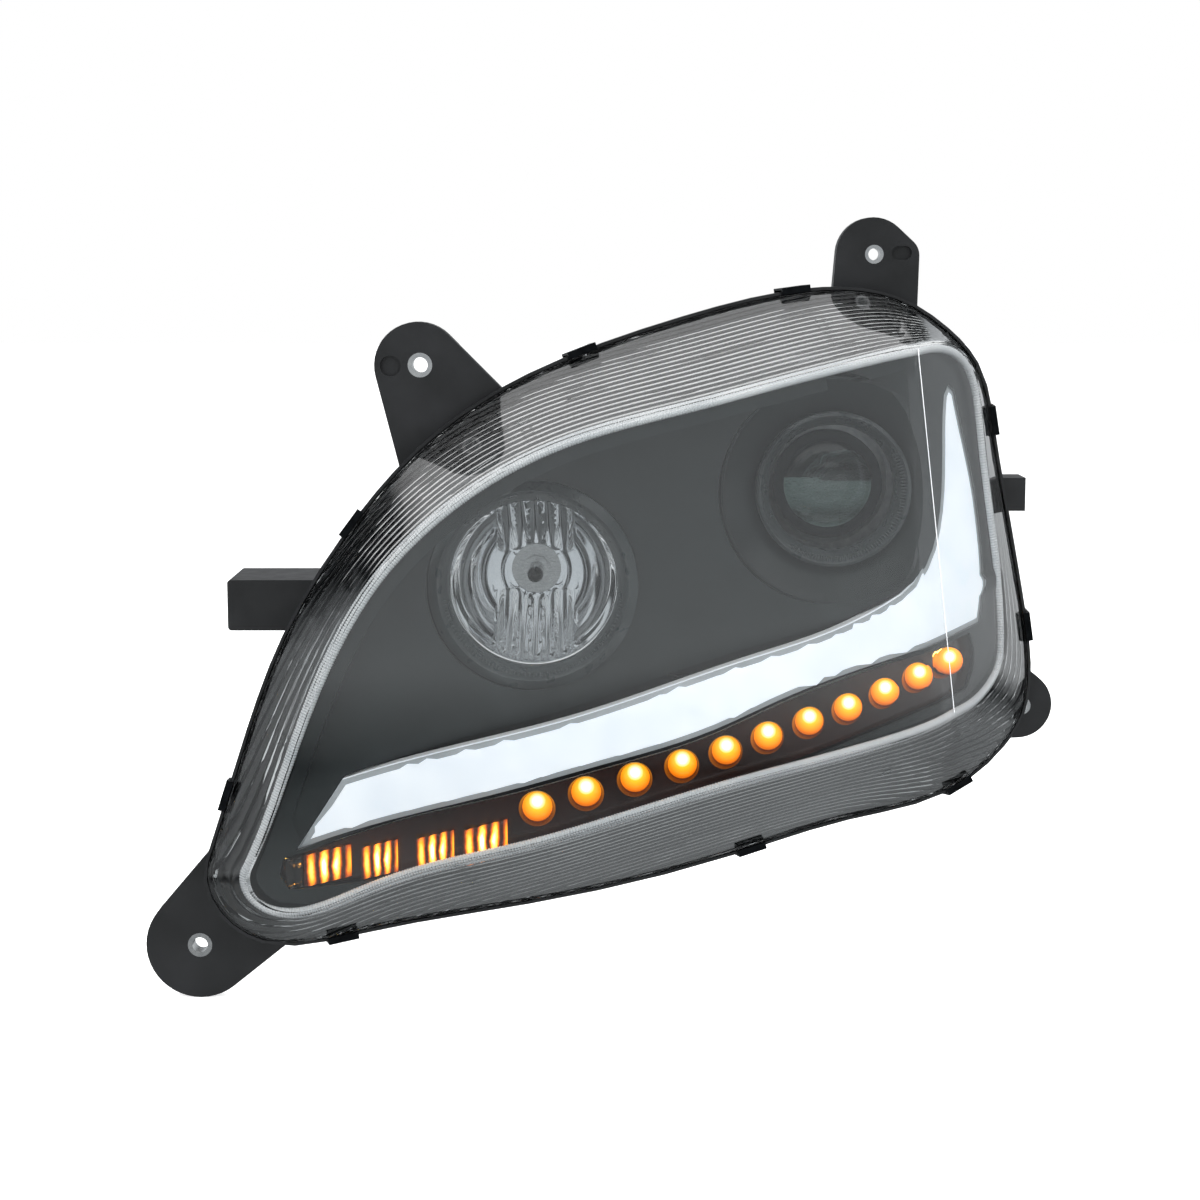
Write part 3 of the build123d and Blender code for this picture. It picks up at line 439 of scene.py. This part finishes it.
def rimLevel(x):
    return sealCorner.y + rimShape["rise"] + rimShape["slope"] * (x - sealCorner.x)


# A clear bead of fine teeth in the corner between the window and its flank.
def serratedBead():
    bm = cadMesh("outer_lens")
    flattened(bm, -1)
    cut = cutLevel(bm, bead["depth"])["geom_cut"]
    rim = [e for e in cut if isinstance(e, bmesh.types.BMEdge)]
    loops = sortedLoops(rim)
    inner = min(loops, key=loopLength)
    bm.free()
    line = bpy.data.curves.new("bead_line", "CURVE")
    line.dimensions = "3D"
    line.bevel_depth = bead["radius"] * mm
    line.bevel_resolution = 3
    points = insetLoop(evenLoop(inner, bead["toothPitch"] * mm / 2), bead["inset"] * mm)
    run = line.splines.new("POLY")
    run.points.add(len(points) - 1)
    run.use_cyclic_u = True
    for i, (dot, place) in enumerate(zip(run.points, points)):
        dot.co = (place.x, place.y + windowDepth(place), place.z, 1)
        dot.radius = 1 - bead["toothDepth"] * (i % 2)
    holder = bpy.data.objects.new("bead_line", line)
    shape = bpy.data.meshes.new_from_object(holder)
    bm = bmesh.new()
    bm.from_mesh(shape)
    bpy.data.objects.remove(holder)
    return makePiece("lens_bead", bm, "frosted", "housing", 60)


# Closed runs of points through edges that share their ends.
def sortedLoops(edges):
    left = dict.fromkeys(edges)  # keeps the order that the cut made them in
    loops = []
    while left:
        edge, _ = left.popitem()
        start, here = edge.verts
        loop = [start.co.copy(), here.co.copy()]
        while True:
            following = [e for e in here.link_edges if e in left]
            if not following:
                break
            edge = following[0]
            del left[edge]
            here = edge.other_vert(here)
            loop.append(here.co.copy())
            if here == start:
                break
        loops.append(loop)
    return [loop for loop in loops if len(loop) > bead["fewest"]]


def loopLength(loop):
    return sum((b - a).length for a, b in zip(loop, loop[1:]))


# The same closed run with points an even step apart.
def evenLoop(loop, step):
    total = loopLength(loop)
    count = 2 * round(total / step / 2)
    points, walked, want = [], 0.0, 0.0
    for a, b in zip(loop, loop[1:]):
        length = (b - a).length
        while want < walked + length and len(points) < count:
            points.append(a.lerp(b, (want - walked) / length))
            want += total / count
        walked += length
    return points


def insetLoop(points, distance):
    area = sum(p.x * q.z - q.x * p.z for p, q in zip(points, points[1:] + points[:1]))
    moved = []
    count = len(points)
    for i, place in enumerate(points):
        way = points[(i + bead["reach"]) % count] - points[i - bead["reach"]]
        side = Vector((-way.z, 0, way.x)).normalized() * (1 if area > 0 else -1)
        moved.append(place + side * distance)
    return moved


# The thin white tube that paints the highlight along the lens's crease.
creaseHighlightStrip = {"radius": 0.5, "sides": 8, "cuts": 40}
flankMarks = {  # millimetres: small round bosses moulded on the flank, and their size
    "bosses": [(223, 359), (423, 423), (63, 153), (189, 52), (472, 112)], "radius": 3.6, "ring": 1.1,
    "sides": 24, "steps": 28, "sink": 0.2, "castFrom": -300,
}


# A white tube along the edge between the front and the side facet: a painted highlight on that crease.
def paintedCreaseHighlight():
    ends = [Vector((x * mm, 0, z * mm)) for x, z in (lensShape["creaseTop"], lensShape["creaseBottom"])]
    bm = bmesh.new()
    side = (ends[1] - ends[0]).normalized()
    circle = bmesh.ops.create_circle(bm, segments=creaseHighlightStrip["sides"], radius=creaseHighlightStrip["radius"] * mm,
                                     cap_ends=True)["verts"]
    bmesh.ops.rotate(bm, cent=(0, 0, 0), matrix=side.to_track_quat("Z", "Y").to_matrix(), verts=circle)
    bmesh.ops.translate(bm, vec=ends[0], verts=circle)
    run = bmesh.ops.extrude_face_region(bm, geom=bm.faces[:])["geom"]
    moved = [v for v in run if isinstance(v, bmesh.types.BMVert)]
    bmesh.ops.translate(bm, vec=ends[1] - ends[0], verts=moved)
    long = [e for e in bm.edges if e.calc_length() > 10 * mm]
    bmesh.ops.subdivide_edges(bm, edges=long, cuts=creaseHighlightStrip["cuts"])
    for vert in bm.verts:
        share = (vert.co - ends[0]).dot(side) / (ends[1] - ends[0]).length
        middleLine = ends[0].lerp(ends[1], share)
        vert.co.y += windowDepth(middleLine) + creaseHighlightStrip["radius"] * mm
    bmesh.ops.recalc_face_normals(bm, faces=bm.faces)
    return makePiece("lens_crease_highlight", bm, "frosted", "housing", 60)


# Small clear rings moulded on the flank, where the ejector pins of its mould stand.
def flankBosses():
    marks = flankMarks
    lens = cadMesh("outer_lens")
    tree = BVHTree.FromBMesh(lens)
    bm = bmesh.new()
    for x, z in marks["bosses"]:
        start = Vector((x * mm, marks["castFrom"] * mm, z * mm))
        hit, normal, _, _ = tree.ray_cast(start, Vector((0, 1, 0)))
        if hit is None:
            continue
        ring = bmesh.ops.create_circle(bm, segments=marks["sides"], radius=marks["ring"] * mm / 2)["verts"]
        bmesh.ops.rotate(bm, cent=(0, 0, 0), matrix=Matrix.Rotation(pi / 2, 3, "X"), verts=ring)
        bmesh.ops.translate(bm, vec=(marks["radius"] * mm, 0, 0), verts=ring)
        edges = list({e for v in ring for e in v.link_edges})
        bmesh.ops.spin(bm, geom=ring + edges, cent=(0, 0, 0), axis=(0, 0, 1), angle=2 * pi,
                       steps=marks["steps"], use_merge=True)
        fresh = [v for v in bm.verts if v.co.length < 20 * mm]
        bmesh.ops.rotate(bm, cent=(0, 0, 0), matrix=normal.to_track_quat("Z", "Y").to_matrix(), verts=fresh)
        bmesh.ops.translate(bm, vec=hit - normal * marks["sink"] * mm, verts=fresh)
    lens.free()
    bmesh.ops.remove_doubles(bm, verts=bm.verts, dist=0.01 * mm)
    bmesh.ops.recalc_face_normals(bm, faces=bm.faces)
    return makePiece("lens_bosses", bm, "ribbedPolycarbonate", "housing", 60)


ribbedLens()
serratedBead()
paintedCreaseHighlight()
flankBosses()
print("lens ready")


bowlShape = {  # millimetres: a paraboloid round the bulb's axis, with its scallops above and below the bulb
    "axis": (229.0, 251.0), "front": 4.0, "back": 66.0, "wide": 57.0, "neck": 17.0, "neckLength": 7.5,
    "rings": 40, "around": 192, "wall": 1.6, "neckMargin": 1, "rimMargin": 1.2, "neckFade": 4, "rimFade": 3,
    "fluteWidth": 9.0, "fluteDepth": 2.1, "fluteSpan": 27, "fluteFrom": 14, "waveWidth": 13, "waveDepth": 1.2,
}


def scallopedBowl():
    b = bowlShape
    x, z = [v * mm for v in b["axis"]]
    bm = bmesh.new()
    factor = (b["back"] - b["front"]) / (b["wide"] ** 2 - b["neck"] ** 2)
    line = []
    for i in range(b["rings"] + 1):
        radius = b["wide"] + (b["neck"] - b["wide"]) * i / b["rings"]
        y = b["back"] - factor * (radius ** 2 - b["neck"] ** 2)
        line.append(bm.verts.new((x + radius * mm, y * mm, z)))
    line.append(bm.verts.new((x + b["neck"] * mm, (b["back"] + b["neckLength"]) * mm, z)))
    edges = [bm.edges.new(pair) for pair in zip(line, line[1:])]
    bmesh.ops.spin(bm, geom=line + edges, cent=(x, 0, z), axis=(0, 1, 0), angle=2 * pi, steps=b["around"],
                   use_merge=True)
    bmesh.ops.remove_doubles(bm, verts=bm.verts, dist=0.01 * mm)
    bmesh.ops.recalc_face_normals(bm, faces=bm.faces)
    bm.normal_update()
    centre = Vector((x, 0, z))
    for vert in bm.verts:
        dx, dz = (vert.co.x - x) / mm, (vert.co.z - z) / mm
        radius = sqrt(dx ** 2 + dz ** 2)
        inside, outside = b["neck"] + b["neckMargin"], b["wide"] - b["rimMargin"]
        if radius < inside or radius > outside:
            continue
        inward = (centre - Vector((vert.co.x, 0, vert.co.z))).normalized()
        fade = min(1, (radius - inside) / b["neckFade"], (outside - radius) / b["rimFade"])
        if abs(dx) < b["fluteSpan"] and abs(dz) > b["fluteFrom"]:
            step = abs(sin(pi * (dx / b["fluteWidth"] + 0.5)))
            vert.co += inward * (1 - step) * b["fluteDepth"] * fade * mm
        else:
            step = abs(sin(pi * radius / b["waveWidth"]))
            vert.co += inward * (1 - step) * b["waveDepth"] * fade * mm
    for face in bm.faces:
        inwards = centre - face.calc_center_median()
        inwards.y = 0
        if face.normal.dot(inwards) < 0:
            face.normal_flip()
    piece = makePiece("high_beam_bowl", bm, "mirror", "carrier", 35,
                      ["high_beam_reflector"])
    wall = piece.modifiers.new("wall", "SOLIDIFY")
    wall.thickness = b["wall"] * mm
    wall.offset = -1
    return piece


scallopedBowl()


ringTeeth = {  # millimetres, and degrees clockwise from the top
    "high": {"axis": (229.0, 251.0), "radius": 61.5, "y": -26.5, "size": (0.9, 1.4, 7.0), "bevel": 0.15,
             "from": 100, "to": 260, "count": 66},
    "low": {"axis": (430.0, 310.0), "radius": 47.5, "y": 19.5, "size": (0.8, 1.2, 5.0), "bevel": 0.15,
            "from": 60, "to": 215, "count": 60},
}


# Small upright teeth set round part of a ring.
def toothedArc(name):
    t = ringTeeth[name]
    x, z = [v * mm for v in t["axis"]]
    bm = bmesh.new()
    start = radians(t["from"])
    turn = radians(t["to"] - t["from"])
    tooth = bmesh.ops.create_cube(bm, size=mm)["verts"]
    bmesh.ops.scale(bm, vec=t["size"], verts=tooth)
    bmesh.ops.translate(bm, vec=(0, t["y"] * mm, t["radius"] * mm), verts=tooth)
    bmesh.ops.rotate(bm, cent=(0, 0, 0), matrix=Matrix.Rotation(start, 3, "Y"), verts=tooth)
    bmesh.ops.translate(bm, vec=(x, 0, z), verts=tooth)
    bmesh.ops.bevel(bm, geom=bm.edges[:], offset=t["bevel"] * mm, segments=1, affect="EDGES", profile=0.5,
                    material=-1)
    bmesh.ops.spin(bm, geom=bm.verts[:] + bm.edges[:] + bm.faces[:], cent=(x, 0, z), axis=(0, 1, 0),
                   angle=turn, steps=t["count"], use_duplicate=True)
    return makePiece(name + "_ring_teeth", bm, "ringPlastic", "housing", 30)


toothedArc("high")
toothedArc("low")
print("lamps ready")


bladeRim = {"width": 3.6, "sink": 1.4, "facing": -0.35}  # millimetres, and how far a lit face looks forward


# The milky light guide, with an edge that falls away from its lit face and is painted grey as shade.
def blade():
    bm = cadMesh("daytime_blade", 0.02)
    bm.normal_update()
    front = [f for f in bm.faces if f.normal.y < bladeRim["facing"]]
    rim = bmesh.ops.inset_region(bm, faces=front, thickness=bladeRim["width"] * mm, depth=0.0,
                                 use_even_offset=True, use_boundary=True)["faces"]
    inner = {v for f in front for v in f.verts}
    outer = {v for f in rim for v in f.verts} - inner
    for vert in outer:
        vert.co.y += bladeRim["sink"] * mm
    for face in rim:
        # The rim faces take the grey finish, which is painted shade on the bevel.
        face.material_index = 1
    return makePiece("light_blade", bm, ["milky", "guideRimShade"], "housing", 25,
                     ["daytime_blade"])


blade()


turnCups = {"cells": 5, "radius": 11.2, "shrink": 1.7, "bulge": 0.35, "depth": 24, "around": 32, "rings": 16}


# The separate closed shells of a mesh, from left to right.
def islands(bm):
    left = set(bm.verts)
    groups = []
    while left:
        stack = [left.pop()]
        group = list(stack)
        while stack:
            for edge in stack.pop().link_edges:
                for vert in edge.verts:
                    if vert in left:
                        left.discard(vert)
                        stack.append(vert)
                        group.append(vert)
        groups.append(group)
    return sorted(groups, key=lambda g: min(v.co.x for v in g))


def middle(group):
    return sum((v.co for v in group), Vector()) / len(group)


def strip():
    return makePiece("turn_strip", cadMesh("turn_reflector"), "stripPlastic", "housing", 30,
                     ["turn_reflector"])


# A shallow dome in the mouth of each cup, mapped so that its core lies above its middle.
def cupLenses():
    chips = cadMesh("turn_leds")
    places = [middle(g) for g in islands(chips)]
    chips.free()
    c = turnCups
    cups = places[c["cells"]:]
    bm = bmesh.new()
    layer = bm.loops.layers.uv.new("UVMap")
    for i, place in enumerate(cups):
        radius = (c["radius"] - c["shrink"] * i / (len(cups) - 1)) * mm
        dome = bmesh.ops.create_uvsphere(bm, u_segments=c["around"], v_segments=c["rings"],
                                         radius=radius)["verts"]
        bmesh.ops.scale(bm, vec=(1, c["bulge"], 1), verts=dome)
        y = windowDepth(place) + c["depth"] * mm
        bmesh.ops.translate(bm, vec=(place.x, y, place.z), verts=dome)
        for face in {f for v in dome for f in v.link_faces}:
            for loop in face.loops:
                away = loop.vert.co - Vector((place.x, y, place.z))
                loop[layer].uv = (0.5 + 0.5 * away.x / radius, 0.5 + 0.5 * away.z / radius)
    return makePiece("cup_lenses", bm, "amberOptic", "housing", 40)


cellShape = {  # millimetres: flutes side by side, and the slope at which the row of cells climbs
    "height": 21.5, "margin": 1.5, "depth": 12.6, "flute": 7.2, "rise": 1.6, "steps": 10, "thick": 1.4,
    "climb": 0.27,
}


# One fluted pane, bent to follow the window's surface.
def cellPane(name, spot, width, finish, stands=()):
    c = cellShape
    bm = bmesh.new()
    across = round(width / mm / c["flute"]) * c["steps"]
    grid = bmesh.ops.create_grid(bm, x_segments=across, y_segments=4, size=0.5, calc_uvs=True)["verts"]
    layer = bm.loops.layers.uv.get("UVMap") or bm.loops.layers.uv.new("UVMap")
    for face in bm.faces:
        for loop in face.loops:
            loop[layer].uv = (loop.vert.co.x + 0.5, loop.vert.co.y + 0.5)
    bmesh.ops.rotate(bm, cent=(0, 0, 0), matrix=Matrix.Rotation(pi / 2, 3, "X"), verts=grid)
    bmesh.ops.scale(bm, vec=(width, 1, c["height"] * mm), verts=grid)
    for vert in grid:
        wave = abs(sin(vert.co.x / mm * pi / c["flute"])) * c["rise"]
        vert.co.x += spot.x
        vert.co.z += spot.z + c["climb"] * (vert.co.x - spot.x)
        vert.co.y = windowDepth(vert.co) + (c["depth"] - wave) * mm
    bmesh.ops.recalc_face_normals(bm, faces=bm.faces)
    bm.normal_update()
    if sum(f.normal.y for f in bm.faces) > 0:
        bmesh.ops.reverse_faces(bm, faces=bm.faces)
    piece = makePiece(name, bm, finish, "housing", 80, stands)
    wall = piece.modifiers.new("wall", "SOLIDIFY")
    wall.thickness = c["thick"] * mm
    return piece


# Five fluted panes: the first is dark, the others are lit from behind.
def cellPanes():
    panes = cadMesh("turn_cell_lenses")
    for i, group in enumerate(islands(panes)):
        low = min(v.co.x for v in group)
        high = max(v.co.x for v in group)
        spot = Vector(((low + high) / 2, 0, middle(group).z))
        width = high - low - cellShape["margin"] * mm
        if i:
            cellPane(f"lit_cell_{i}", spot, width, "amberFlutes")
        else:
            cellPane("dark_cell", spot, width, "smoked", ["turn_cell_lenses"])
    panes.free()


strip()
cupLenses()
cellPanes()
print("turn signal ready")

makePiece("knurled_sleeves", cadMesh("mounting_sleeves"), "zinc", "housing", 30,
          ["mounting_sleeves"])


stageSet = {  # the drop and the lens in millimetres, the rest in metres and degrees
    "floorDrop": 0.4, "floorSize": 14, "floorX": 0.27, "target": (0.2731, -0.007, 0.2387), "distance": 1.63,
    "down": 7.8, "lens": 73.35,
}
softboxes = {
    "key": {"at": (-0.7, -1.7, 1.5), "size": 1.3, "power": 22},
    "fill": {"at": (1.5, -1.4, 0.9), "size": 1.2, "power": 12},
    "top": {"at": (0.3, -0.1, 1.7), "size": 1.6, "power": 26},
    "back": {"at": (0.3, 1.6, 1.2), "size": 1.2, "power": 14},
}


def floor():
    bm = bmesh.new()
    bmesh.ops.create_grid(bm, x_segments=2, y_segments=2, size=stageSet["floorSize"])
    level = cadBox[0][2] - stageSet["floorDrop"] * mm
    bmesh.ops.translate(bm, vec=(stageSet["floorX"], 0, level), verts=bm.verts)
    mesh = bpy.data.meshes.new("floor")
    bm.to_mesh(mesh)
    bm.free()
    material, tree, place = startMaterial("Pale studio floor")
    cloud = addNode(tree, "ShaderNodeTexNoise", {"Scale": 4.0}, {"Vector": place})
    shade = ramp(tree, cloud.outputs["Fac"], [(0.2, "#fafafa"), (0.8, "#fdfdfd")])
    shader = addNode(tree, "ShaderNodeBsdfPrincipled", {"Roughness": 0.7, "Emission Strength": 0.75},
                     {"Base Color": shade, "Emission Color": shade})
    endMaterial(tree, shader.outputs[0])
    mesh.materials.append(material)
    piece = bpy.data.objects.new("floor", mesh)
    scene.collection.objects.link(piece)
    piece.visible_glossy = False
    piece.visible_transmission = False


def softbox(name):
    s = softboxes[name]
    lamp = bpy.data.lights.new(name, "AREA")
    lamp.shape = "SQUARE"
    lamp.size = s["size"]
    lamp.energy = s["power"]
    holder = bpy.data.objects.new(name, lamp)
    scene.collection.objects.link(holder)
    holder.location = s["at"]
    holder.visible_glossy = False
    holder.visible_transmission = False
    way = Vector(stageSet["target"]) - holder.location
    holder.rotation_euler = way.to_track_quat("-Z", "Y").to_euler()


# White behind the object, and a greyer room in its reflections.
def surround():
    world = bpy.data.worlds.new("studio")
    world.use_nodes = True
    tree = world.node_tree
    tree.nodes.clear()
    ray = addNode(tree, "ShaderNodeLightPath")
    white = addNode(tree, "ShaderNodeBackground", {"Color": (1, 1, 1, 1), "Strength": 1.0})
    way = addNode(tree, "ShaderNodeTexCoord").outputs["Generated"]
    height = addNode(tree, "ShaderNodeSeparateXYZ", {}, {"Vector": way}).outputs["Z"]
    level = addNode(tree, "ShaderNodeMapRange", {"From Min": -1.0, "From Max": 1.0}, {"Value": height})
    shade = ramp(tree, level.outputs["Result"], [(0.28, "#a4a8aa"), (0.34, "#2a2d2f"), (0.4, "#d6d9db"),
                                                 (0.61, "#c4c8cb"), (0.65, "#1c1e20"), (0.71, "#1c1e20"),
                                                 (0.74, "#fbfcfd")])
    room = addNode(tree, "ShaderNodeBackground", {"Strength": 1.0}, {"Color": shade})
    both = addNode(tree, "ShaderNodeMixShader", {}, {"Fac": ray.outputs["Is Camera Ray"]})
    tree.links.new(room.outputs[0], both.inputs[1])
    tree.links.new(white.outputs[0], both.inputs[2])
    addNode(tree, "ShaderNodeOutputWorld", {}, {"Surface": both.outputs[0]})
    scene.world = world


def camera():
    data = bpy.data.cameras.new("camera")
    data.lens = stageSet["lens"]
    data.sensor_width = 36
    holder = bpy.data.objects.new("camera", data)
    scene.collection.objects.link(holder)
    down = radians(stageSet["down"])
    way = Vector((0, cos(down), -sin(down)))
    holder.location = Vector(stageSet["target"]) - way * stageSet["distance"]
    holder.rotation_euler = way.to_track_quat("-Z", "Y").to_euler()
    scene.camera = holder


floor()
for name in softboxes:
    softbox(name)
surround()
camera()
scene.view_settings.view_transform = "Standard"
print("stage ready")
